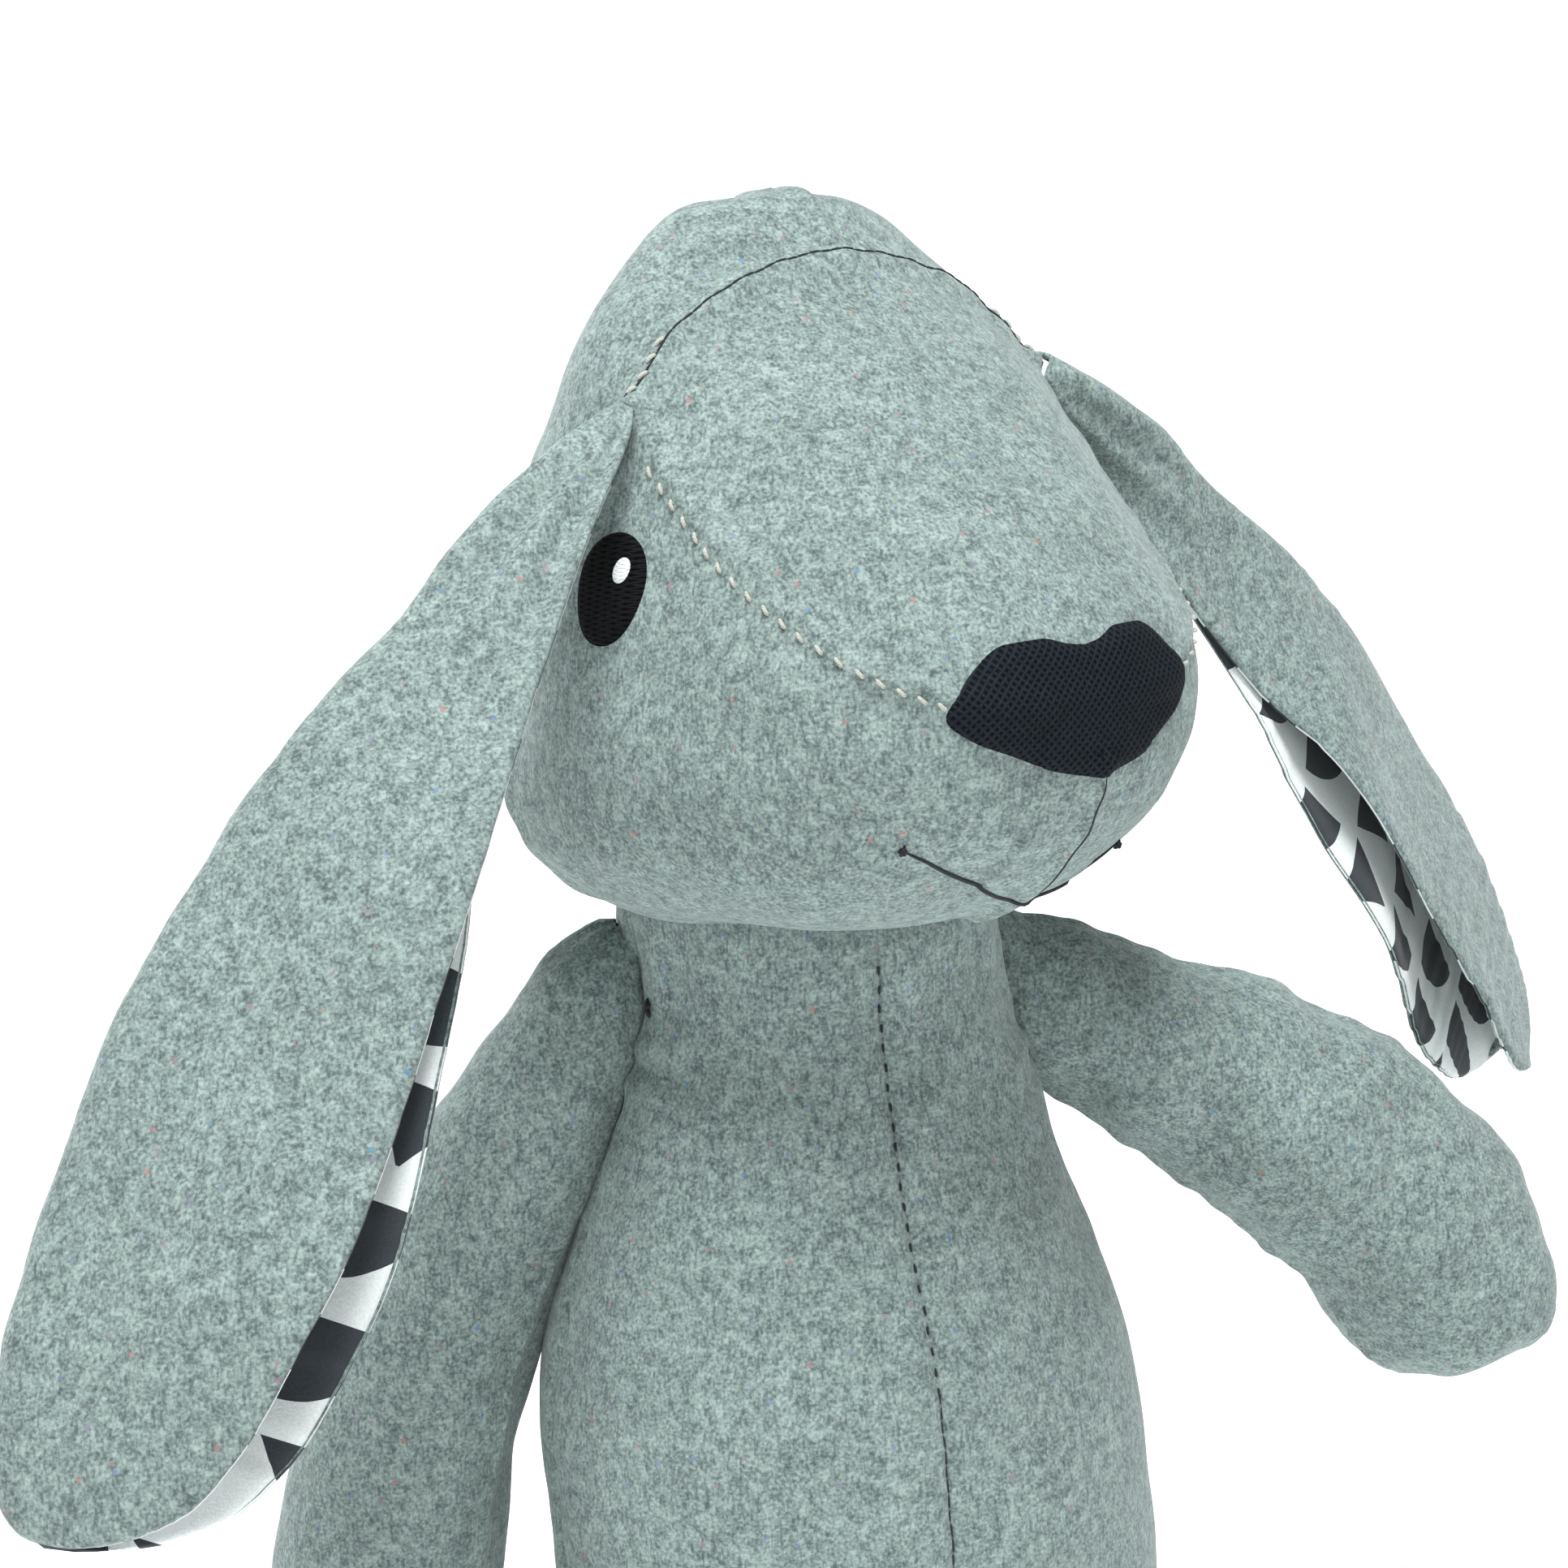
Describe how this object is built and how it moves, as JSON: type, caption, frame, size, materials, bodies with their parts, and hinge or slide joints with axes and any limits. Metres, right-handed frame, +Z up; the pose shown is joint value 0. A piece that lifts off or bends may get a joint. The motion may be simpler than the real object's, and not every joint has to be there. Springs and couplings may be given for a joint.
{
  "type": "hand puppet",
  "caption": "Hand puppet of a long-eared felt rabbit: open sleeve body, turning and nodding head, printed-lined lop ears and two soft arms that lift.",
  "frame": {"origin": "centre of the hand opening, on the plane of the hem", "axes": "+Z up along the sleeve, the chest faces -Y, the puppet's own left is +X; the head is stored turned 18 degrees to the puppet's left"},
  "size_m": [0.3434, 0.1403, 0.293],
  "materials": {
    "grey_felt": "heathered wool felt, matt, fine speckle",
    "printed_cotton": "plain-weave cotton with a black and white geometric print",
    "nose_cloth": "black woven cloth",
    "eye_thread": "black satin-stitch embroidery",
    "white_thread": "white satin-stitch embroidery",
    "dark_thread": "dark sewing thread",
    "cream_thread": "cream sewing thread",
    "filling": "polyester filling"
  },
  "bodies": {
    "sleeve": {"body_back_left": "grey_felt", "body_back_right": "grey_felt", "body_front_left": "grey_felt", "body_front_right": "grey_felt", "hem_band": "grey_felt", "chest_stitches": "dark_thread"},
    "neck": {"neck_band": "grey_felt"},
    "head": {"cheek_left": "grey_felt", "cheek_right": "grey_felt", "eye_glint_left": "white_thread", "eye_glint_right": "white_thread", "eye_left": "eye_thread", "eye_right": "eye_thread", "face_stitches_left": "cream_thread", "face_stitches_right": "cream_thread", "finger_pocket": "grey_felt", "forehead": "grey_felt", "head_back_left": "grey_felt", "head_back_right": "grey_felt", "head_stuffing": "filling", "nose": "nose_cloth", "smile_thread": "dark_thread"},
    "ear_left": {"ear_felt_left": "grey_felt", "ear_lining_left": "printed_cotton"},
    "ear_right": {"ear_felt_right": "grey_felt", "ear_lining_right": "printed_cotton"},
    "arm_left": {"arm_back_left": "grey_felt", "arm_front_left": "grey_felt", "arm_stuffing_left": "filling"},
    "arm_right": {"arm_back_right": "grey_felt", "arm_front_right": "grey_felt", "arm_stuffing_right": "filling"}
  },
  "joints": [
    {"name": "head_turn", "type": "hinge", "parent": "sleeve", "child": "neck", "pos_m": [0, 0, 0.165], "axis": [0, 0, 1], "range_deg": [-50, 25]},
    {"name": "head_nod", "type": "hinge", "parent": "neck", "child": "head", "pos_m": [0, 0, 0.165], "axis": [0.9511, 0.309, 0], "range_deg": [-18, 16]},
    {"name": "ear_left_lift", "type": "hinge", "parent": "head", "child": "ear_left", "pos_m": [0.05375, -0.00356, 0.259], "axis": [0.342, -0.9397, 0], "range_deg": [-3, 45]},
    {"name": "ear_right_lift", "type": "hinge", "parent": "head", "child": "ear_right", "pos_m": [-0.04139, -0.03448, 0.259], "axis": [-0.309, 0.9511, 0], "range_deg": [-10, 60]},
    {"name": "arm_left_lift", "type": "hinge", "parent": "sleeve", "child": "arm_left", "pos_m": [0.044, 0, 0.143], "axis": [0, -0.5, -0.866], "range_deg": [-6, 24]},
    {"name": "arm_right_lift", "type": "hinge", "parent": "sleeve", "child": "arm_right", "pos_m": [-0.04, 0.006, 0.149], "axis": [0.5, 0.866, 0], "range_deg": [0, 80]}
  ]
}
